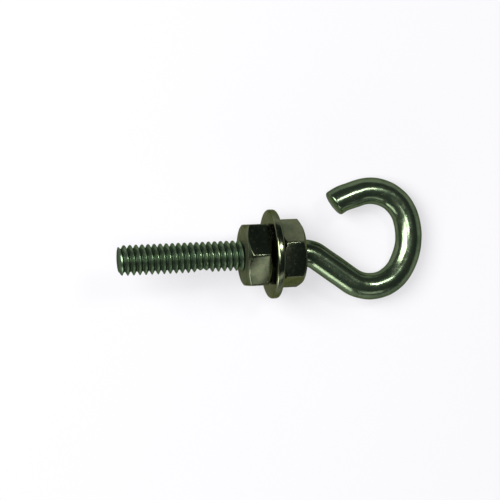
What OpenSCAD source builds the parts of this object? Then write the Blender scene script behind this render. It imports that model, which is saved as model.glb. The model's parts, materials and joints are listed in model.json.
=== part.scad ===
// Open eye screw: a rod bent to an open eye, a threaded stud, two hex nuts and a washer between them.
// Lengths in mm. The screw lies at rest on z = 0, as it comes to rest when put down: the washer's
// rim and the far side of the eye touch the ground, and the stud's free end points up and to -x.

/* [View] */

// Piece to draw
// Pieces to a full turn of a round surface
round_parts = 72; // [24:4:180]

/* [Stud and thread] */

// Diameter over the thread's crests
thread_d = 6.35; // [4:0.05:12]
// Pitch of the right-hand thread, which also sets its depth, end chamfer and run-out
thread_pitch = 1.27; // [0.5:0.01:2.5]
// Facets to a turn of the thread
turn_parts = 20; // [12:4:36]
// Reach of the stud from the middle of the washer to its free end
stud_reach = 32.4; // [20:0.1:80]

/* [Rod and eye] */

// Diameter of the plain rod
rod_d = 5.6; // [3.5:0.05:10]
// Distance from the middle of the washer to the start of the neck bend
neck_start = 6.4; // [6.2:0.1:20]
// Radius of the neck bend at the middle of the rod
neck_r = 5.6; // [4.5:0.1:15]
// Straight run between the neck bend and the bottom bend
neck_run = 8.4; // [4:0.1:20]
// Radius of the bottom bend at the middle of the rod
bottom_r = 7.6; // [5:0.1:15]
// Radius of the flatter far side at the middle of the rod
side_r = 12.8; // [6:0.1:25]
// Radius of the top bend at the middle of the rod
top_r = 8; // [5:0.1:15]
// Straight run between the top bend and the curl at the tip
tip_run = 2.8; // [1:0.1:10]
// Radius of the curl at the tip at the middle of the rod
tip_r = 9.4; // [5:0.1:20]
// Straight length left at the sheared tip
tip_end = 0.6; // [0.5:0.1:4]
// Chamfer around the sheared tip
tip_chamfer = 0.4; // [0.1:0.05:0.45]

/* [Nuts] */

// Width across the flats of both nuts
nut_af = 12.7; // [8:0.1:24]
// Thickness of both nuts
nut_t = 5.3; // [3:0.1:12]
// Diameter of the round face left by the chamfer, as a share of the width across the flats
nut_face_share = 0.93; // [0.85:0.01:1]
// Angle of the corner chamfers to the end faces
nut_chamfer_angle = 33; // [20:1:45]
// Clearance between a nut's plain bore and the thread's crests, at the radius
nut_bore_gap = 0.05; // [0.02:0.01:0.3]
// Turn of the front nut about the stud
front_nut_roll = 1.1; // [-30:0.1:30]
// Turn of the back nut about the stud
back_nut_roll = -17.6; // [-30:0.1:30]

/* [Washer] */

// Outer diameter of the washer
washer_od = 18.6; // [14:0.1:40]
// Hole of the washer
washer_id = 7.9; // [6.5:0.1:14]
// Thickness of the washer
washer_t = 1.65; // [0.8:0.05:4]
// Radius of the rounded edges at the washer's rim
washer_edge_r = 0.5; // [0.1:0.05:0.8]

/* [Stacking] */

// Running gap between the front nut and the washer
front_gap = 0.2; // [0.05:0.01:0.5]
// Running gap between the washer and the back nut
back_gap = 0.1; // [0.05:0.01:0.5]

/* [Hidden] */

$fn = round_parts;

thread_r = thread_d / 2;
rod_r = rod_d / 2;

// End chamfer and run-out follow the pitch
end_chamfer = 0.6 * thread_pitch;
runout_len = 1.5 * thread_pitch;
runout_end = neck_start - 0.2 * thread_pitch;

// Thread form: 60 degree flanks between an eighth of a pitch of crest and the root that is left
thread_depth = 0.6134 * thread_pitch;
root_r = thread_r - thread_depth;
flank_run = thread_depth * tan(30);
crest_run = thread_pitch / 8;
root_run = thread_pitch - crest_run - 2 * flank_run;

// One ridge as distance along the stud and radius, from root to root
RIDGE = [
    [root_run / 2, root_r],
    [root_run / 2 + flank_run, thread_r],
    [root_run / 2 + flank_run + crest_run, thread_r],
    [thread_pitch - root_run / 2, root_r],
];

// Helix that the ridge follows, begun and ended beyond the stud so that both ends are cut square
helix_x = -stud_reach - 1.3 * thread_pitch;
helix_parts = turn_parts * (ceil((runout_end - helix_x) / thread_pitch) + 1);

// Amount by which the faded thread stays inside the rod that carries on from it
runout_seat = 0.02;

// Nut sizes: across the corners, round end face, bore and its countersink
nut_corner_r = nut_af / 2 / cos(30);
nut_face_r = nut_af * nut_face_share / 2;
nut_chamfer_t = (nut_corner_r - nut_face_r) * tan(nut_chamfer_angle);
nut_bore_r = thread_r + nut_bore_gap;
nut_sink = 0.3 * thread_pitch;

// Stations of the stack along the stud, with the middle of the washer at x = 0
front_nut_x = -washer_t / 2 - front_gap - nut_t;
back_nut_x = washer_t / 2 + back_gap;

// Bend angles: the eye takes two quarter turns, and the rest are slopes of whole-number triangles
neck_sweep = atan2(3, 4);
side_sweep = atan2(4, 3);
tip_sweep = atan2(7, 24);

// Bend table of the rod from the end of the run-out: straight feed, bend radius, signed sweep
BENDS = [
    [neck_start - runout_end, neck_r, -neck_sweep],
    [neck_run, bottom_r, 90],
    [0, side_r, side_sweep],
    [0, top_r, 90],
    [tip_run, tip_r, tip_sweep],
];

// Overlength of each bend before it is trimmed
trim_sweep = 4;

// Middle line of one bend: the point reached after turning by `turned` from heading `h`
function bend_point(p, h, r, side, turned) =
    [p.x + side * r * (sin(h + turned) - sin(h)), p.y - side * r * (cos(h + turned) - cos(h))];

// Points along the middle line of the rod, about one to a degree of bend, for its outer bounds
function rod_line(i = 0, p = [runout_end, 0], h = 0) =
    i == len(BENDS)
        ? [p + tip_end * [cos(h), sin(h)]]
        : let (
            row = BENDS[i],
            side = sign(row[2]),
            q = p + row[0] * [cos(h), sin(h)],
            steps = ceil(abs(row[2]))
        )
        concat(
            [for (k = [0 : steps]) bend_point(q, h, row[1], side, row[2] * k / steps)],
            rod_line(i + 1, bend_point(q, h, row[1], side, row[2]), h + row[2])
        );

ROD_LINE = rod_line();
eye_far_x = max([for (p = ROD_LINE) p.x]);
eye_top_y = max([for (p = ROD_LINE) p.y]);
eye_low_y = min([for (p = ROD_LINE) p.y]);

// Resting tilt: the washer's lower edge arc and the far side of the eye touch one level plane
washer_r = washer_od / 2;
rest_dx = eye_far_x - (washer_t / 2 - washer_edge_r);
rest_dz = washer_r - washer_edge_r;
rest_tilt = atan2(rest_dz, rest_dx) - asin((rod_r - washer_edge_r) / norm([rest_dx, rest_dz]));

// Placement: ground at z = 0, with the origin under the middle of the part's bounds
rest_z = eye_far_x * sin(rest_tilt) + rod_r;
rest_x = (stud_reach * cos(rest_tilt) + rod_r * sin(rest_tilt) - eye_far_x * cos(rest_tilt) - rod_r) / 2;
rest_y = -(eye_top_y + rod_r + min(eye_low_y - rod_r, -washer_r)) / 2;

// Lays the upright row of pieces, which has the stud on the x axis, down at rest
module lay_down() {
    translate([rest_x, rest_y, rest_z])
        rotate([0, rest_tilt, 0])
            children();
}

// Turns a piece drawn along z so that it lies along the stud, from station x on
module along_stud(x) {
    translate([x, 0, 0])
        rotate([0, 90, 0])
            children();
}

// Moves on from the start of a bend to its end
module past_bend(r, sweep) {
    side = sign(sweep);
    translate([0, side * r, 0])
        rotate([0, 0, sweep])
            translate([0, -side * r, 0])
                children();
}

// One bend of the rod, made a little long and trimmed square where the next feed starts
module bend(r, sweep) {
    difference() {
        mirror([0, sweep < 0 ? 1 : 0, 0])
            translate([0, r, 0])
                rotate([0, 0, -90])
                    rotate_extrude(angle = abs(sweep) + trim_sweep)
                        translate([r, 0]) circle(r = rod_r);
        past_bend(r, sweep)
            translate([0, -rod_d, -rod_d]) cube(2 * rod_d);
    }
}

// Feeds the rod straight, bends it, and goes on with the next row of the table from there
module bend_rod(i = 0) {
    if (i == len(BENDS)) {
        along_stud(0) cylinder(h = tip_end - tip_chamfer, r = rod_r);
        along_stud(tip_end - tip_chamfer) cylinder(h = tip_chamfer, r1 = rod_r, r2 = rod_r - tip_chamfer);
    } else {
        row = BENDS[i];
        if (row[0] > 0)
            along_stud(0) cylinder(h = row[0], r = rod_r);
        translate([row[0], 0, 0]) {
            bend(row[1], row[2]);
            past_bend(row[1], row[2]) bend_rod(i + 1);
        }
    }
}

// Radius of the thread at distance x, which fades into the rod over the run-out
function faded(x, r) =
    let (fade = max(0, min(1, (runout_end - x) / runout_len)))
        rod_r - runout_seat + (r - rod_r + runout_seat) * fade;

// Point m of the ridge after s steps along the helix
function helix_point(s, m) =
    let (
        x = helix_x + thread_pitch * s / turn_parts + RIDGE[m][0],
        r = faded(x, RIDGE[m][1]),
        turn = 180 + 360 * s / turn_parts
    ) [r * cos(turn), r * sin(turn), x];

// Right-hand helical ridge on its root, one closed body with a fan over either end
module helix() {
    n = turn_parts;
    last = helix_parts;
    start_hub = 4 * (last + 1);
    end_hub = start_hub + 1;
    start_rim = concat([for (s = [0 : n]) 4 * s], [3, 2, 1]);
    end_rim = concat([for (s = [last - n : last]) 4 * s + 3], [4 * last + 2, 4 * last + 1, 4 * last]);
    points = concat(
        [for (s = [0 : last], m = [0 : 3]) helix_point(s, m)],
        [[0, 0, helix_x + thread_pitch / 2], [0, 0, helix_x + thread_pitch * (last / n + 0.5)]]
    );
    flanks = [
        for (s = [0 : last - 1], m = [0 : 2], half = [0, 1])
            let (a = 4 * s + m, b = a + 4)
                half == 0 ? [a, a + 1, b + 1] : [a, b + 1, b]
    ];
    roots = [
        for (s = [0 : last - n - 1], half = [0, 1])
            let (a = 4 * s + 3, b = 4 * (s + n))
                half == 0 ? [a, b, b + 4] : [a, b + 4, a + 4]
    ];
    start_fan = [for (i = [0 : len(start_rim) - 1])
        [start_hub, start_rim[i], start_rim[(i + 1) % len(start_rim)]]];
    end_fan = [for (i = [0 : len(end_rim) - 1])
        [end_hub, end_rim[(i + 1) % len(end_rim)], end_rim[i]]];
    polyhedron(points, concat(flanks, roots, start_fan, end_fan));
}

// Threaded stud: the helix cut square at the run-out, and square with a chamfer at the free end
module stud() {
    slope = (thread_r - rod_r) / end_chamfer;
    stock_r = 1.5 * thread_r;
    along_stud(0)
        intersection() {
            helix();
            rotate_extrude()
                polygon([
                    [0, -stud_reach],
                    [rod_r, -stud_reach],
                    [stock_r, -stud_reach + (stock_r - rod_r) / slope],
                    [stock_r, runout_end],
                    [0, runout_end],
                ]);
        }
}

// Hex nut along z with chamfered corners and a countersunk plain bore
module hex_nut(roll) {
    rotate([0, 0, roll])
        difference() {
            intersection() {
                linear_extrude(nut_t) circle(r = nut_corner_r, $fn = 6);
                rotate_extrude()
                    polygon([
                        [0, 0],
                        [nut_face_r, 0],
                        [nut_corner_r, nut_chamfer_t],
                        [nut_corner_r, nut_t - nut_chamfer_t],
                        [nut_face_r, nut_t],
                        [0, nut_t],
                    ]);
            }
            rotate_extrude()
                polygon([
                    [0, -1],
                    [nut_bore_r + nut_sink + 1, -1],
                    [nut_bore_r, nut_sink],
                    [nut_bore_r, nut_t - nut_sink],
                    [nut_bore_r + nut_sink + 1, nut_t + 1],
                    [0, nut_t + 1],
                ]);
        }
}

// One rod: stud, neck, open eye and sheared tip
module hook_bolt() {
    color("DimGray")
        lay_down() {
            stud();
            translate([runout_end, 0, 0]) bend_rod();
        }
}

// Nut on the free side of the washer
module front_nut() {
    color("Gray")
        lay_down() along_stud(front_nut_x) hex_nut(front_nut_roll);
}

// Flat washer with rounded rim edges and a plain hole
module washer() {
    color("Silver")
        lay_down() along_stud(-washer_t / 2)
            rotate_extrude() {
                translate([washer_id / 2, 0])
                    square([washer_r - washer_edge_r - washer_id / 2, washer_t]);
                translate([washer_id / 2, washer_edge_r])
                    square([washer_r - washer_id / 2, washer_t - 2 * washer_edge_r]);
                for (z = [washer_edge_r, washer_t - washer_edge_r])
                    translate([washer_r - washer_edge_r, z]) circle(r = washer_edge_r);
            }
}

// Nut at the run-out of the thread, beside the neck
module back_nut() {
    color("Gray")
        lay_down() along_stud(back_nut_x) hex_nut(back_nut_roll);
}

hook_bolt();
front_nut();
washer();
back_nut();
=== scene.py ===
"""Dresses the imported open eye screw: threaded rod, nuts, washer, studio and camera."""

import json
import logging
import math
from dataclasses import dataclass, field
from enum import Enum
from typing import Any

import bmesh
import bpy
from bmesh.types import BMEdge, BMesh, BMVert
from mathutils import Matrix, Vector, noise


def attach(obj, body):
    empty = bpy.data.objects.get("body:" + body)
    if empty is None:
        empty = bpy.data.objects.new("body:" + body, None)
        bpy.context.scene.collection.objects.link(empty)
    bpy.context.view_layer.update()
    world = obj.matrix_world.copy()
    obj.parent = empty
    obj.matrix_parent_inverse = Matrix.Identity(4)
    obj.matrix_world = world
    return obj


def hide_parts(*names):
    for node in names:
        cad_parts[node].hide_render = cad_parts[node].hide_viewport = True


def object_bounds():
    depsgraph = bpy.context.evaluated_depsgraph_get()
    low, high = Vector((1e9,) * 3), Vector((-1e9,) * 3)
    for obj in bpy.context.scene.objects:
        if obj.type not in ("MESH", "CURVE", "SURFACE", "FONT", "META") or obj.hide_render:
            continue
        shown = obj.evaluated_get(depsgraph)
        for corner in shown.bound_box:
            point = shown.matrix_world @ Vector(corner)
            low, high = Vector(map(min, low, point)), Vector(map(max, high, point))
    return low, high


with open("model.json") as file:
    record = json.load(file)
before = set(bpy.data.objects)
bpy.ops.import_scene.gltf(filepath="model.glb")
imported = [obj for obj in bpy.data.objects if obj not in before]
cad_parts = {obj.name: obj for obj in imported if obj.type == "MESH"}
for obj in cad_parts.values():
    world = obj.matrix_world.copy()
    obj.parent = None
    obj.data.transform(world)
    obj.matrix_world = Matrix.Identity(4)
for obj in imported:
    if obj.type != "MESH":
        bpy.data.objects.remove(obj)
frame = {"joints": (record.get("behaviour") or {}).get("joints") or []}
CAD_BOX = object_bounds()

LOG = logging.getLogger("eye_screw")
MM = 0.001

# Tolerances in millimetres
SAME_POINT = 1e-4
NO_LENGTH = 1e-5
THREAD_SEAM = 2e-3
IN_PLANE = 1e-3


class Tint(Enum):
    """Colours of the plating and the studio, linear RGB."""

    ROD = (0.108, 0.142, 0.083)
    ROD_DEEP = (0.072, 0.100, 0.060)
    ROD_EDGE = (0.340, 0.370, 0.300)
    THREAD = (0.066, 0.140, 0.076)
    NUT = (0.112, 0.126, 0.074)
    NUT_DEEP = (0.078, 0.092, 0.056)
    NUT_EDGE = (0.400, 0.410, 0.340)
    # Grime and painted shade that darken the thread's roots.
    ROOT_GRIME_AND_SHADE = (0.016, 0.026, 0.020)
    BARE = (0.290, 0.300, 0.225)
    PAPER = (0.365, 0.361, 0.374)
    PAPER_GLOW = (0.985, 0.980, 1.000)
    ROOM = (0.031, 0.046, 0.060)

    @property
    def rgba(self) -> tuple[float, float, float, float]:
        """The colour with full alpha, as a socket takes it."""
        return (*self.value, 1.0)


@dataclass(frozen=True)
class Wire:
    """A shader socket that takes part in Python expressions."""

    tree: "Graph"
    socket: bpy.types.NodeSocket | None

    def __add__(self, other: "Wire | float") -> "Wire":
        """Adds a value."""
        return self.tree.math("ADD", self, other)

    __radd__ = __add__

    def __sub__(self, other: "Wire | float") -> "Wire":
        """Subtracts a value."""
        return self.tree.math("SUBTRACT", self, other)

    def __rsub__(self, other: float) -> "Wire":
        """Is subtracted from a value."""
        return self.tree.math("SUBTRACT", other, self)

    def __mul__(self, other: "Wire | float") -> "Wire":
        """Multiplies by a value."""
        return self.tree.math("MULTIPLY", self, other)

    __rmul__ = __mul__

    def clamp(self, low: float, high: float, to_low: float = 0.0, to_high: float = 1.0) -> "Wire":
        """Maps a range of values smoothly to another and holds its ends.

        Args:
            low: Value that becomes to_low.
            high: Value that becomes to_high.
            to_low: Result at and below low.
            to_high: Result at and above high.

        Returns:
            The mapped value.
        """
        return self.tree.node(
            "ShaderNodeMapRange", {"interpolation_type": "SMOOTHSTEP"},
            {0: self, 1: low, 2: high, 3: to_low, 4: to_high})


@dataclass(frozen=True)
class Grain:
    """One noise pattern: cells per metre, and how fine and how harsh it gets."""

    scale: float
    detail: float = 3.0
    harsh: float = 0.6


class Graph:
    """Node tree of one material or world, filled from Python."""

    def __init__(self, owner: bpy.types.Material | bpy.types.World) -> None:
        """Starts an empty tree.

        Args:
            owner: The material or world that the tree belongs to.
        """
        owner.use_nodes = True
        self.tree = owner.node_tree
        self.tree.nodes.clear()

    def node(self, kind: str, settings: dict[str, Any] | None = None,
             inputs: dict[int | str, Any] | None = None, out: int | str = 0) -> Wire:
        """Adds one node.

        Args:
            kind: Blender's type name of the node.
            settings: Attributes of the node, set first.
            inputs: Values or wires by socket name or number.
            out: Output socket to return.

        Returns:
            The chosen output as a wire, without a socket where the node has no output.
        """
        made = self.tree.nodes.new(kind)
        for name, value in (settings or {}).items():
            setattr(made, name, value)
        for key, value in (inputs or {}).items():
            if isinstance(value, Wire):
                self.tree.links.new(value.socket, made.inputs[key])
            else:
                made.inputs[key].default_value = value
        return Wire(self, made.outputs[out] if made.outputs else None)

    def math(self, operation: str, a: Wire | float, b: Wire | float) -> Wire:
        """Adds a Math node on two values."""
        return self.node("ShaderNodeMath", {"operation": operation}, {0: a, 1: b})

    def vector(self, operation: str, inputs: dict[int, Any], out: str = "Vector") -> Wire:
        """Adds a Vector Math node."""
        return self.node("ShaderNodeVectorMath", {"operation": operation}, inputs, out)

    def mix(self, amount: Wire, a: Wire | Tint, b: Tint) -> Wire:
        """Mixes a colour with a tint."""
        first = a.rgba if isinstance(a, Tint) else a
        return self.node("ShaderNodeMix", {"data_type": "RGBA"}, {0: amount, 6: first, 7: b.rgba}, 2)

    def grain(self, where: Wire, grain: Grain) -> Wire:
        """Adds a noise value on a position."""
        return self.node("ShaderNodeTexNoise", {"noise_dimensions": "3D"},
                         {"Vector": where, "Scale": grain.scale, "Detail": grain.detail,
                          "Roughness": grain.harsh})


@dataclass(frozen=True)
class Seat:
    """Where the stud's axis lies in the shared frame."""

    place: Matrix

    @classmethod
    def of_frame(cls, joints: list[dict]) -> "Seat":
        """Reads the axis from the joint of the front nut.

        Args:
            joints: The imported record's joints.

        Returns:
            The seat, with x along the stud towards the eye, in millimetres.
        """
        turn = next(j for j in joints if j["name"] == "front_nut_turn")
        x = -Vector(turn["axis"]).normalized()
        y = Vector((0.0, 1.0, 0.0))
        z = x.cross(y).normalized()
        turned = Matrix((x, y, z)).transposed().to_4x4()
        return cls(Matrix.Translation(Vector(turn["pos_m"])) @ turned @ Matrix.Scale(MM, 4))

    @property
    def origin(self) -> Vector:
        """Middle of the washer at rest, in metres."""
        return self.place.translation

    @property
    def axis(self) -> Vector:
        """Unit vector along the stud, towards the eye."""
        return (self.place.to_3x3() @ Vector((1.0, 0.0, 0.0))).normalized()


@dataclass(frozen=True)
class Plating:
    """Glossy plated steel with blotches and scuffs, duller before a station on the stud.

    Lengths are in millimetres. A groove gives the radii between which a thread's roots are darkened with
    grime and painted shade.
    """

    name: str
    tint: Tint = Tint.NUT
    deep: Tint = Tint.NUT_DEEP
    edge: Tint = Tint.NUT_EDGE
    metal: float = 1.0
    gloss: float = 0.17
    blotch: Grain = Grain(260.0, 4.0)
    blotch_range: tuple[float, float] = (0.36, 0.66)
    blotch_rough: float = 0.06
    scuff: Grain = Grain(1400.0)
    bare_range: tuple[float, float] = (0.60, 0.74)
    bare_share: float = 0.35
    haze_range: tuple[float, float] = (0.45, 0.75)
    haze_rough: float = 0.07
    streak: Grain = Grain(630.0, 2.0, 0.55)
    streak_stretch: tuple[float, float, float] = (0.35, 1.0, 1.0)
    scuff_height: float = 0.5
    bump: float = 0.10
    bump_height: float = 0.04
    dull_end: float = 0.0
    dull_fade: float = 0.05
    dull_rough: float = 0.0
    groove: tuple[float, float] | None = None
    thread_share: float = 0.22
    # Share of grime and painted shade in the thread's roots.
    root_grime_and_shade_share: float = 0.60
    grime_rough: float = 0.12

    def make(self, seat: Seat) -> bpy.types.Material:
        """Builds the material.

        Args:
            seat: Where the stud's axis lies.

        Returns:
            The finished material.
        """
        material = bpy.data.materials.new(self.name)
        graph = Graph(material)
        where = graph.node("ShaderNodeTexCoord", out="Object")
        blotch = graph.grain(where, self.blotch).clamp(*self.blotch_range)
        scuff = graph.grain(where, self.scuff)
        colour = graph.mix(blotch, self.tint, self.deep)
        colour = graph.mix(scuff.clamp(*self.bare_range) * self.bare_share, colour, Tint.BARE)
        rough = self.gloss + blotch * self.blotch_rough + scuff.clamp(*self.haze_range) * self.haze_rough
        away = graph.vector("SUBTRACT", {0: where, 1: tuple(seat.origin)})
        station = graph.vector("DOT_PRODUCT", {0: away, 1: tuple(seat.axis)}, "Value")
        dull = station.clamp(self.dull_end * MM, (self.dull_end + self.dull_fade) * MM, 1.0, 0.0)
        rough = rough + dull * self.dull_rough
        if self.groove is not None:
            across = graph.vector("CROSS_PRODUCT", {0: away, 1: tuple(seat.axis)})
            radius = graph.vector("LENGTH", {0: across}, "Value")
            root, crest = self.groove
            # The thread's roots get darker towards the root radius: partly grime, partly painted shade in
            # the hollows.
            root_grime_and_shade = (1.0 - radius.clamp(root * MM, crest * MM)) * dull
            colour = graph.mix(dull * self.thread_share, colour, Tint.THREAD)
            colour = graph.mix(root_grime_and_shade * self.root_grime_and_shade_share, colour, Tint.ROOT_GRIME_AND_SHADE)
            rough = rough + root_grime_and_shade * self.grime_rough
        surface = graph.node(
            "ShaderNodeBsdfPrincipled", None,
            {"Base Color": colour, "Roughness": rough, "Metallic": self.metal,
             "Normal": self._relief(graph, where, scuff), "Specular Tint": self.edge.rgba})
        graph.node("ShaderNodeOutputMaterial", None, {"Surface": surface})
        return material

    def _relief(self, graph: Graph, where: Wire, scuff: Wire) -> Wire:
        """Makes the fine bumps of scuffs and drawing streaks.

        Args:
            graph: The material's tree.
            where: Position on the piece.
            scuff: The scuff pattern.

        Returns:
            The bumped normal.
        """
        stretched = graph.node("ShaderNodeMapping", None, {"Vector": where, "Scale": self.streak_stretch})
        height = scuff * self.scuff_height + graph.grain(stretched, self.streak)
        return graph.node("ShaderNodeBump", None,
                          {"Strength": self.bump, "Distance": self.bump_height * MM, "Height": height})


def corners(edges: list[BMEdge]) -> list[BMVert]:
    """Gives the vertices of some edges, each once."""
    return list({v for e in edges for v in e.verts})


def within(share: float) -> float:
    """Holds a share between 0 and 1."""
    return min(max(share, 0.0), 1.0)


@dataclass
class Piece:
    """What every modelled piece has: its seat, its names in the record and its way into the scene.

    Meshes are built in millimetres on the stud's own axes.
    """

    seat: Seat
    name: str
    body: str
    slot: str

    def build(self) -> bpy.types.Object:
        """Builds the piece's object."""
        raise NotImplementedError

    def dress(self, finish: bpy.types.Material) -> None:
        """Builds the piece, gives it its finish and hangs it on the body that it stands for.

        Args:
            finish: The piece's material.
        """
        piece = self.build()
        piece.data.materials.append(finish)
        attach(piece, self.body)
        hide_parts(self.body)
        LOG.info("%s: %d faces on %s", piece.name, len(piece.data.polygons), self.body)

    def close(self, bm: BMesh, sharp_deg: float = 32.0) -> bpy.types.Object:
        """Moves a mesh to its place and makes its object.

        Args:
            bm: The mesh, which is freed.
            sharp_deg: Edges that turn by more than this stay sharp.

        Returns:
            The linked object, at the origin and unturned.
        """
        bmesh.ops.remove_doubles(bm, verts=bm.verts[:], dist=SAME_POINT)
        bmesh.ops.dissolve_degenerate(bm, edges=bm.edges[:], dist=NO_LENGTH)
        bmesh.ops.transform(bm, matrix=self.seat.place, verts=bm.verts[:])
        bmesh.ops.recalc_face_normals(bm, faces=bm.faces[:])
        limit = math.radians(sharp_deg)
        for face in bm.faces:
            face.smooth = True
        for edge in bm.edges:
            edge.smooth = len(edge.link_faces) == 2 and edge.calc_face_angle(0.0) < limit
        mesh = bpy.data.meshes.new(self.name)
        bm.to_mesh(mesh)
        bm.free()
        made = bpy.data.objects.new(self.name, mesh)
        bpy.context.scene.collection.objects.link(made)
        return made


@dataclass(frozen=True)
class Thread:
    """Right-hand screw thread, slightly rounded by the plating."""

    crest_r: float = 3.175
    pitch: float = 1.27
    start: float = -34.051
    flank_deg: float = 30.0
    depth_share: float = 0.6134
    crest_share: float = 0.125
    soft: float = 0.045
    flank_ease: float = 0.6
    crest_ease: float = 0.7
    clean_crest: float = 0.2
    turn_steps: int = 48

    @property
    def root_r(self) -> float:
        """Radius at the bottom of the thread."""
        return self.crest_r - self.depth_share * self.pitch

    @property
    def groove(self) -> tuple[float, float]:
        """Radii between which the thread's roots get grime and painted shade."""
        return self.root_r, self.crest_r - self.clean_crest

    def profile(self) -> list[tuple[float, float]]:
        """Works out the outline of one pitch.

        Returns:
            Station and radius of its points, from root to root.
        """
        flank = (self.crest_r - self.root_r) * math.tan(math.radians(self.flank_deg))
        root = self.pitch - self.pitch * self.crest_share - 2 * flank
        foot, top, soft = root / 2, root / 2 + flank, self.soft
        rise = [(0.0, self.root_r), (foot - soft, self.root_r),
                (foot + soft * self.flank_ease, self.root_r + soft),
                (top - soft * self.flank_ease, self.crest_r - soft),
                (top + soft * self.crest_ease, self.crest_r)]
        return rise + [(self.pitch - x, r) for x, r in reversed(rise)]

    def spin(self, bm: BMesh, first: float, last: float) -> list[BMVert]:
        """Winds the thread as an open sheet round the x axis.

        Args:
            bm: The mesh.
            first: Station from which the sheet is whole all round.
            last: Station up to which it is whole.

        Returns:
            The sheet's vertices.
        """
        skipped = math.floor((first - self.start) / self.pitch) - 1
        begin = self.start + skipped * self.pitch
        turns = math.ceil((last - begin) / self.pitch) + 1
        chain = [bm.verts.new((begin + x, 0.0, r)) for x, r in self.profile()]
        edges = [bm.edges.new(pair) for pair in zip(chain, chain[1:])]
        old = set(bm.verts) - set(chain)
        bmesh.ops.spin(bm, geom=chain + edges, cent=(0, 0, 0), axis=(1, 0, 0),
                       dvec=(self.pitch / self.turn_steps, 0, 0), angle=2 * math.pi * turns,
                       steps=self.turn_steps * turns, use_merge=False, use_duplicate=False)
        sheet = [v for v in bm.verts if v not in old]
        bmesh.ops.remove_doubles(bm, verts=sheet, dist=THREAD_SEAM)
        return [v for v in bm.verts if v not in old]

    @staticmethod
    def cut(bm: BMesh, verts: list[BMVert], first: float, last: float) -> list[list[BMEdge]]:
        """Cuts a sheet square at both of its ends.

        Args:
            bm: The mesh.
            verts: The sheet's vertices.
            first: Station of the first cut.
            last: Station of the last cut.

        Returns:
            The open edges at either cut.
        """
        for x, outer in ((first, False), (last, True)):
            geom = list({g for v in verts for g in (v, *v.link_edges, *v.link_faces)})
            made = bmesh.ops.bisect_plane(bm, geom=geom, dist=NO_LENGTH, plane_co=(x, 0, 0),
                                          plane_no=(1, 0, 0), clear_outer=outer,
                                          clear_inner=not outer)["geom_cut"]
            verts = [v for v in verts if v.is_valid] + [g for g in made if isinstance(g, BMVert)]
        return [[e for e in bm.edges
                 if e.is_boundary and all(abs(v.co.x - x) < IN_PLANE for v in e.verts)]
                for x in (first, last)]


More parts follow.
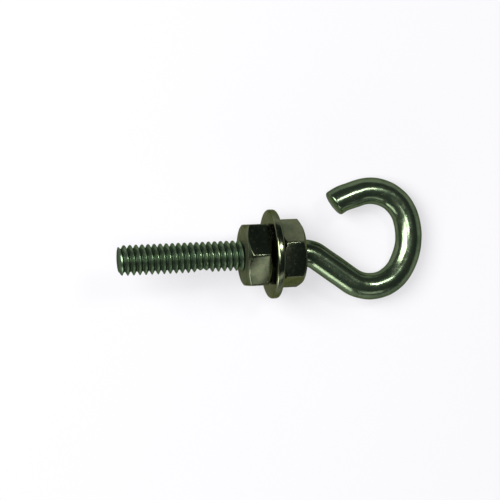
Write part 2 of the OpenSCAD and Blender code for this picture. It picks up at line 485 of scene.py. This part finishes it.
@dataclass
class EyeRod(Piece):
    """Rod with the helical thread, run-out, neck, open eye and sheared tip.

    Bends hold the straight feed before a bend, the bend's radius and its angle in degrees. Waves
    hold how many fit in a millimetre and their share of the wave's height.
    """

    thread: Thread
    rod_r: float = 2.8
    reach: float = 32.4
    nose_turns: float = 0.6
    nose_share: float = 0.9
    end_rim: float = 0.25
    end_dish: float = 0.05
    worn_at: float = -15.0
    worn_len: float = 3.4
    worn_depth: float = 0.45
    worn_focus: int = 4
    fade_turns: float = 1.5
    fade_gap: float = 0.2
    neck_start: float = 6.4
    tip_end: float = 0.6
    tip_chamfer: float = 0.4
    tip_steps: int = 3
    wave: float = 0.045
    waves: tuple[tuple[float, float], ...] = ((0.42, 1.0), (0.95, 0.5))
    wave_from: float = 0.6
    wave_rise: float = 2.0
    feed_steps: int = 4
    bend_step_deg: float = 3.0
    bends: list[tuple[float, float, float]] = field(default_factory=lambda: [
        (0.0, 5.6, -math.degrees(math.atan2(3, 4))),
        (8.4, 7.6, 90.0),
        (0.0, 12.8, math.degrees(math.atan2(4, 3))),
        (0.0, 8.0, 90.0),
        (2.8, 9.4, math.degrees(math.atan2(7, 24))),
    ])

    @property
    def runout_end(self) -> float:
        """Station where the thread has faded into the rod."""
        return self.neck_start - self.fade_gap * self.thread.pitch

    def build(self) -> bpy.types.Object:
        """Builds the rod from its free end to the tip.

        Returns:
            The finished object.
        """
        bm = bmesh.new()
        self._eye(bm, self._stud(bm))
        self._hand_bent(bm)
        return self.close(bm)

    def _stud(self, bm: BMesh) -> list[BMEdge]:
        """Winds the thread, trims it to the stud and closes its free end.

        Args:
            bm: The mesh.

        Returns:
            The open edges at the end of the run-out.
        """
        sheet = self.thread.spin(bm, -self.reach, self.runout_end)
        for vert in sheet:
            radius = math.hypot(vert.co.y, vert.co.z)
            scale = self._trimmed(vert.co.x, -vert.co.y / radius, radius) / radius
            vert.co.y, vert.co.z = vert.co.y * scale, vert.co.z * scale
        free_end, ring = self.thread.cut(bm, sheet, -self.reach, self.runout_end)
        face = bmesh.ops.edgeloop_fill(bm, edges=free_end)["faces"]
        bmesh.ops.inset_region(bm, faces=face, thickness=self.end_rim, depth=self.end_dish,
                               use_even_offset=True)
        return ring

    def _trimmed(self, x: float, side: float, radius: float) -> float:
        """Works out the radius after the end chamfer, the worn spot and the run-out.

        Args:
            x: Station along the stud.
            side: Cosine of the angle from the side that is worn.
            radius: Radius of the full thread there.

        Returns:
            The radius that is left.
        """
        full, pitch = self.thread.crest_r, self.thread.pitch
        nose = self.rod_r + (x + self.reach) * (full - self.rod_r) / (self.nose_turns * pitch)
        near = max(0.0, 1.0 - (2 * (x - self.worn_at) / self.worn_len) ** 2)
        crest = full - self.worn_depth * math.sqrt(near) * max(0.0, side) ** self.worn_focus
        radius = min(radius, crest, max(nose, self.nose_share * self.thread.root_r))
        fade = within((self.runout_end - x) / (self.fade_turns * pitch))
        return self.rod_r + (radius - self.rod_r) * fade * fade * (3 - 2 * fade)

    def _eye(self, bm: BMesh, ring: list[BMEdge]) -> None:
        """Feeds and bends the end ring through the bend table and closes the tip.

        Args:
            bm: The mesh.
            ring: Open edges at the end of the run-out.
        """
        for vert in corners(ring):
            vert.co.x = self.runout_end
        neck = Vector((self.neck_start - self.runout_end, 0.0, 0.0))
        ring = self._feed(bm, ring, neck, self.feed_steps)
        heading, at = 0.0, Vector((self.neck_start, 0.0, 0.0))
        for feed, radius, sweep in self.bends:
            along = Vector((math.cos(heading), math.sin(heading), 0.0))
            ring = self._feed(bm, ring, along * feed, self.feed_steps)
            at = at + along * feed
            centre = at + Vector((-along.y, along.x, 0.0)) * math.copysign(radius, sweep)
            angle = math.radians(sweep)
            spun = bmesh.ops.spin(bm, geom=corners(ring) + ring, cent=centre, axis=(0, 0, 1),
                                  dvec=(0, 0, 0), angle=angle,
                                  steps=round(abs(sweep) / self.bend_step_deg),
                                  use_merge=False, use_duplicate=False)["geom_last"]
            ring = [g for g in spun if isinstance(g, BMEdge)]
            at = centre + Matrix.Rotation(angle, 3, "Z") @ (at - centre)
            heading += angle
        self._tip(bm, ring, at, Vector((math.cos(heading), math.sin(heading), 0.0)))

    @staticmethod
    def _feed(bm: BMesh, ring: list[BMEdge], move: Vector, steps: int = 1) -> list[BMEdge]:
        """Extrudes a ring straight on.

        Args:
            bm: The mesh.
            ring: Edges of the ring.
            move: The whole way to go.
            steps: Number of segments.

        Returns:
            Edges of the last ring.
        """
        if move.length < NO_LENGTH:
            return ring
        for _ in range(steps):
            geom = bmesh.ops.extrude_edge_only(bm, edges=ring)["geom"]
            bmesh.ops.translate(bm, vec=move / steps, verts=[g for g in geom if isinstance(g, BMVert)])
            ring = [g for g in geom if isinstance(g, BMEdge) and g.is_boundary]
        return ring

    def _tip(self, bm: BMesh, ring: list[BMEdge], at: Vector, along: Vector) -> None:
        """Adds the sheared tip with its worn edge.

        Args:
            bm: The mesh.
            ring: Edges of the last ring.
            at: Middle of that ring.
            along: Heading of the rod there.
        """
        straight = along * (self.tip_end - self.tip_chamfer)
        ring = self._feed(bm, ring, straight)
        base, worn = at + straight, self.tip_chamfer
        now_r, now_x = self.rod_r, 0.0
        for step in range(1, self.tip_steps + 1):
            turn = math.pi / 2 * step / self.tip_steps
            next_r, next_x = self.rod_r - worn * (1 - math.cos(turn)), worn * math.sin(turn)
            ring = self._feed(bm, ring, along * (next_x - now_x))
            bmesh.ops.scale(bm, vec=(next_r / now_r,) * 3, verts=corners(ring),
                            space=Matrix.Translation(-(base + along * next_x)))
            now_r, now_x = next_r, next_x
        bmesh.ops.edgeloop_fill(bm, edges=ring)

    def _hand_bent(self, bm: BMesh) -> None:
        """Gives the plain rod the slight waviness of a cold bend.

        Args:
            bm: The mesh.
        """
        bm.normal_update()
        for vert in bm.verts:
            rise = within((vert.co.x - self.runout_end - self.wave_from) / self.wave_rise)
            swell = sum(share * noise.noise(vert.co * scale) for scale, share in self.waves)
            vert.co += vert.normal * (self.wave * rise * swell)


@dataclass
class HexNut(Piece):
    """Hex nut with chamfered corners, countersinks and a bore, plain or tapped.

    A plain bore holds the height and the radius of its rings.
    """

    start_x: float
    roll_deg: float
    flats: float = 12.7
    thick: float = 5.3
    face_share: float = 0.93
    chamfer_deg: float = 33.0
    mouth_r: float = 3.30
    sink: float = 0.12
    bore: tuple[tuple[float, float], ...] = ()
    tapped: Thread | None = None
    tap_gap: float = 0.05
    minor_r: float = 2.60
    hard_deg: float = 12.0
    edge_soft: float = 0.14
    edge_steps: int = 2
    sharp_deg: float = 28.0
    sides: int = 96

    def build(self) -> bpy.types.Object:
        """Bridges the nut's rings into one closed body.

        Returns:
            The finished object.
        """
        bm = bmesh.new()
        face_r = self.flats * self.face_share / 2
        self._bridge(bm, [
            self._ring(bm, self.mouth_r, 0.0),
            self._ring(bm, face_r, 0.0),
            self._hexagon(bm, face_r, 0.0, 1.0),
            self._hexagon(bm, face_r, self.thick, -1.0),
            self._ring(bm, face_r, self.thick),
            self._ring(bm, self.mouth_r, self.thick),
        ])
        bmesh.ops.recalc_face_normals(bm, faces=bm.faces[:])
        hard = [e for e in bm.edges if e.calc_face_angle(0.0) > math.radians(self.hard_deg)]
        bmesh.ops.bevel(bm, geom=hard, offset=self.edge_soft, segments=self.edge_steps, profile=0.5,
                        affect="EDGES", material=-1, clamp_overlap=True, loop_slide=True)
        mouths = [self._mouth(bm, height) for height in (0.0, self.thick)]
        if self.tapped is None:
            rings = [self._ring(bm, radius, height) for height, radius in self.bore]
            self._bridge(bm, [mouths[0], *rings, mouths[1]])
        stand = Matrix.Translation((self.start_x, 0, 0)) @ Matrix.Rotation(math.pi / 2, 4, "Y")
        roll = Matrix.Rotation(math.radians(self.roll_deg), 4, "Z")
        bmesh.ops.transform(bm, matrix=stand @ roll, verts=bm.verts[:])
        if self.tapped is not None:
            self._tap(bm, mouths)
        return self.close(bm, self.sharp_deg)

    def _ring(self, bm: BMesh, radius: float, height: float) -> list[BMEdge]:
        """Makes one round ring of edges.

        Args:
            bm: The mesh.
            radius: The ring's radius.
            height: Its height over the first end face.

        Returns:
            The ring's edges.
        """
        lift = Matrix.Translation((0.0, 0.0, height))
        made = bmesh.ops.create_circle(bm, cap_ends=False, segments=self.sides, radius=radius, matrix=lift)
        return list({e for v in made["verts"] for e in v.link_edges})

    def _hexagon(self, bm: BMesh, face_r: float, height: float, inward: float) -> list[BMEdge]:
        """Makes the ring where a corner chamfer meets the flats.

        Args:
            bm: The mesh.
            face_r: Radius at which the chamfer starts on the end face.
            height: Height of that end face.
            inward: Direction from it into the nut, 1 or -1.

        Returns:
            The ring's edges.
        """
        ring = self._ring(bm, 1.0, height)
        slope = inward * math.tan(math.radians(self.chamfer_deg))
        for vert in corners(ring):
            radius = self._hex_radius(math.atan2(vert.co.y, vert.co.x))
            vert.co = (vert.co.x * radius, vert.co.y * radius, height + (radius - face_r) * slope)
        return ring

    def _hex_radius(self, angle: float) -> float:
        """Gives the distance from the middle to the hexagon's edge in a direction."""
        third = (angle + math.pi / 6) % (math.pi / 3) - math.pi / 6
        return self.flats / 2 / math.cos(math.pi / 6 - abs(third))

    @staticmethod
    def _bridge(bm: BMesh, rings: list[list[BMEdge]]) -> None:
        """Joins rings, each to the next."""
        for near, far in zip(rings, rings[1:]):
            bmesh.ops.bridge_loops(bm, edges=near + far)

    @staticmethod
    def _mouth(bm: BMesh, height: float) -> list[BMEdge]:
        """Finds the open edges round the hole in one end face."""
        return [e for e in bm.edges if e.is_boundary and abs(e.verts[0].co.z - height) < SAME_POINT]

    def _tap(self, bm: BMesh, mouths: list[list[BMEdge]]) -> None:
        """Winds the nut's own thread, a little clear of the stud's, and joins it to the mouths.

        Args:
            bm: The mesh, already standing on the stud.
            mouths: Edges of the hole in either end face.
        """
        first, last = self.start_x + self.sink, self.start_x + self.thick - self.sink
        sheet = self.tapped.spin(bm, first, last)
        for vert in sheet:
            radius = math.hypot(vert.co.y, vert.co.z)
            scale = max(radius + self.tap_gap, self.minor_r) / radius
            vert.co.y, vert.co.z = vert.co.y * scale, vert.co.z * scale
        for end, mouth in zip(self.tapped.cut(bm, sheet, first, last), mouths):
            self._bridge(bm, [end, mouth])


@dataclass
class FlatWasher(Piece):
    """Stamped washer with a rounded rim."""

    outer_r: float = 9.3
    hole_r: float = 3.95
    thick: float = 1.65
    rim_soft: float = 0.5
    rim_steps: int = 7
    hole_soft: float = 0.15
    hole_steps: int = 3
    steps: int = 144

    def build(self) -> bpy.types.Object:
        """Spins the washer's section round the stud.

        Returns:
            The finished object.
        """
        bm = bmesh.new()
        half = self.thick / 2
        section = ((-half, self.hole_r), (half, self.hole_r), (half, self.outer_r), (-half, self.outer_r))
        verts = [bm.verts.new((x, 0.0, r)) for x, r in section]
        bm.faces.new(verts)
        bmesh.ops.bevel(bm, geom=verts[2:], offset=self.rim_soft, segments=self.rim_steps, profile=0.5,
                        affect="VERTICES", material=-1)
        inner = [v for v in bm.verts if v.co.z < self.hole_r + SAME_POINT]
        bmesh.ops.bevel(bm, geom=inner, offset=self.hole_soft, segments=self.hole_steps, profile=0.5,
                        affect="VERTICES", material=-1)
        bmesh.ops.delete(bm, geom=bm.faces[:], context="FACES_ONLY")
        bmesh.ops.spin(bm, geom=bm.verts[:] + bm.edges[:], cent=(0, 0, 0), axis=(1, 0, 0),
                       dvec=(0, 0, 0), angle=2 * math.pi, steps=self.steps,
                       use_merge=True, use_duplicate=False)
        return self.close(bm)


@dataclass(frozen=True)
class Softbox:
    """One soft lamp that faces the washer: degrees, metres and watts."""

    name: str
    tilt_deg: float
    turn_deg: float
    wide: float
    deep: float
    power: float
    far: float = 0.6

    @property
    def way(self) -> Vector:
        """Unit vector from the washer to the lamp."""
        tilt, turn = math.radians(self.tilt_deg), math.radians(self.turn_deg)
        return Vector((math.sin(tilt) * math.cos(turn), math.sin(tilt) * math.sin(turn), math.cos(tilt)))


@dataclass
class Studio:
    """Pale table, soft lamps and the camera straight above; lengths are in metres."""

    seat: Seat
    floor_z: float
    boxes: tuple[Softbox, ...] = (
        Softbox("key", 32.0, 160.0, 0.34, 0.42, 9.2),
        Softbox("window", 76.0, 238.0, 0.34, 0.24, 1.8),
        Softbox("low", 66.0, 290.0, 0.36, 0.12, 0.28),
        Softbox("rim", 30.0, 36.0, 0.08, 0.09, 1.2),
        Softbox("top", 5.0, 275.0, 0.16, 0.10, 1.3),
    )
    table_r: float = 2.5
    table_sides: int = 96
    wall_h: float = 0.30
    glow_share: float = 0.62
    height: float = 0.5
    sensor_mm: float = 36.0
    clip: tuple[float, float] = (0.01, 10.0)
    px_per_mm: float = 4.8
    frame_px: float = 500.0
    seat_px: tuple[float, float] = (272.0, 254.0)
    lean_deg: float = 2.5

    def table(self) -> None:
        """Makes the round table with its low wall."""
        bm = bmesh.new()
        bmesh.ops.create_circle(bm, cap_ends=True, segments=self.table_sides, radius=self.table_r)
        rim = [e for e in bm.edges if e.is_boundary]
        geom = bmesh.ops.extrude_edge_only(bm, edges=rim)["geom"]
        bmesh.ops.translate(bm, vec=(0, 0, self.wall_h), verts=[g for g in geom if isinstance(g, BMVert)])
        bmesh.ops.translate(bm, vec=(0, 0, self.floor_z), verts=bm.verts[:])
        mesh = bpy.data.meshes.new("table")
        bm.to_mesh(mesh)
        bm.free()
        made = bpy.data.objects.new("table", mesh)
        bpy.context.scene.collection.objects.link(made)
        made.data.materials.append(self._paper())

    def _paper(self) -> bpy.types.Material:
        """Makes pale matt paper that stays white to the camera and in reflections.

        Returns:
            The finished material.
        """
        material = bpy.data.materials.new("paper")
        graph = Graph(material)
        camera, glossy, through = (
            graph.node("ShaderNodeLightPath", out=ray)
            for ray in ("Is Camera Ray", "Is Glossy Ray", "Is Transmission Ray"))
        seen = (camera + glossy + through).clamp(0.0, 1.0, 0.0, self.glow_share)
        matt = graph.node("ShaderNodeBsdfDiffuse", None, {"Color": Tint.PAPER.rgba})
        glow = graph.node("ShaderNodeEmission", None, {"Color": Tint.PAPER_GLOW.rgba, "Strength": 1.0})
        mixed = graph.node("ShaderNodeMixShader", None, {0: seen, 1: matt, 2: glow})
        graph.node("ShaderNodeOutputMaterial", None, {"Surface": mixed})
        return material

    def lamps(self) -> None:
        """Places the soft lamps and the dim room light."""
        scene = bpy.context.scene
        scene.world = bpy.data.worlds.new("room")
        graph = Graph(scene.world)
        sky = graph.node("ShaderNodeBackground", None, {"Color": Tint.ROOM.rgba, "Strength": 1.0})
        graph.node("ShaderNodeOutputWorld", None, {"Surface": sky})
        for box in self.boxes:
            lamp = bpy.data.lights.new(box.name, "AREA")
            lamp.shape = "RECTANGLE"
            lamp.size, lamp.size_y, lamp.energy = box.wide, box.deep, box.power
            made = bpy.data.objects.new(box.name, lamp)
            made.location = self.seat.origin + box.way * box.far
            made.rotation_euler = box.way.to_track_quat("Z", "Y").to_euler()
            scene.collection.objects.link(made)

    def camera(self) -> None:
        """Sets the camera straight above, leaned as the picture is."""
        scene = bpy.context.scene
        lens = bpy.data.cameras.new("view")
        lens.sensor_width = self.sensor_mm
        lens.lens = self.sensor_mm * self.height / (self.frame_px / self.px_per_mm * MM)
        lens.clip_start, lens.clip_end = self.clip
        made = bpy.data.objects.new("view", lens)
        lean = math.radians(self.lean_deg)
        right = Vector((math.cos(lean), -math.sin(lean), 0.0))
        up = Vector((math.sin(lean), math.cos(lean), 0.0))
        half = self.frame_px / 2
        off_right = (self.seat_px[0] - half) / self.px_per_mm * MM
        off_up = (half - self.seat_px[1]) / self.px_per_mm * MM
        made.location = self.seat.origin - right * off_right - up * off_up + Vector((0, 0, self.height))
        made.rotation_euler = (0.0, 0.0, -lean)
        scene.collection.objects.link(made)
        scene.camera = made


@dataclass(frozen=True)
class EyeScrew:
    """The whole screw: how its pieces stand on the stud and how each is finished.

    The back nut's bore is widest over the full thread and narrows over the run-out.
    """

    seat: Seat
    thread: Thread = Thread()
    thread_dull: float = 5.0
    front_gap: float = 0.2
    front_dull: float = 0.075
    front_roll_deg: float = 1.1
    back_gap: float = 0.1
    back_roll_deg: float = -17.6
    back_bore: tuple[tuple[float, float], ...] = (
        (0.25, 3.225), (3.20, 3.225), (4.30, 3.06), (5.00, 2.88), (5.22, 2.90))

    @property
    def front_start(self) -> float:
        """Station of the front nut's outer face."""
        return -FlatWasher.thick / 2 - self.front_gap - HexNut.thick

    @property
    def back_start(self) -> float:
        """Station of the back nut's face beside the washer."""
        return FlatWasher.thick / 2 + self.back_gap

    @property
    def rod_plating(self) -> Plating:
        """The rod's finish, duller on the thread and with grime and painted shade in its roots."""
        return Plating("rod_plating", Tint.ROD, Tint.ROD_DEEP, Tint.ROD_EDGE, metal=0.94,
                       dull_end=self.thread_dull, dull_rough=0.08, groove=self.thread.groove)

    @property
    def nut_plating(self) -> Plating:
        """The nuts' finish, duller on the front nut's outer face."""
        return Plating("nut_plating", gloss=0.18, dull_end=self.front_start + self.front_dull,
                       dull_rough=0.28)

    def assemble(self) -> None:
        """Builds and dresses every piece, from the rod to the washer."""
        rod = EyeRod(self.seat, "eye_rod", "hook_bolt", "rod_steel", self.thread)
        rod.dress(self.rod_plating.make(self.seat))
        nut_finish = self.nut_plating.make(self.seat)
        outer = HexNut(self.seat, "outer_nut", "front_nut", "nut_steel", self.front_start,
                       self.front_roll_deg, tapped=self.thread)
        outer.dress(nut_finish)
        inner = HexNut(self.seat, "inner_nut", "back_nut", "nut_steel", self.back_start,
                       self.back_roll_deg, bore=self.back_bore)
        inner.dress(nut_finish)
        washer = FlatWasher(self.seat, "round_washer", "washer", "washer_steel")
        washer.dress(Plating("washer_plating", gloss=0.16).make(self.seat))


def main() -> None:
    """Builds the screw and sets the stage."""
    logging.basicConfig(level=logging.INFO, format="%(name)s: %(message)s")
    bpy.context.scene.view_settings.view_transform = "Standard"
    seat = Seat.of_frame(frame["joints"])
    EyeScrew(seat).assemble()
    studio = Studio(seat, CAD_BOX[0].z)
    studio.table()
    studio.lamps()
    studio.camera()


if __name__ == "__main__":
    main()
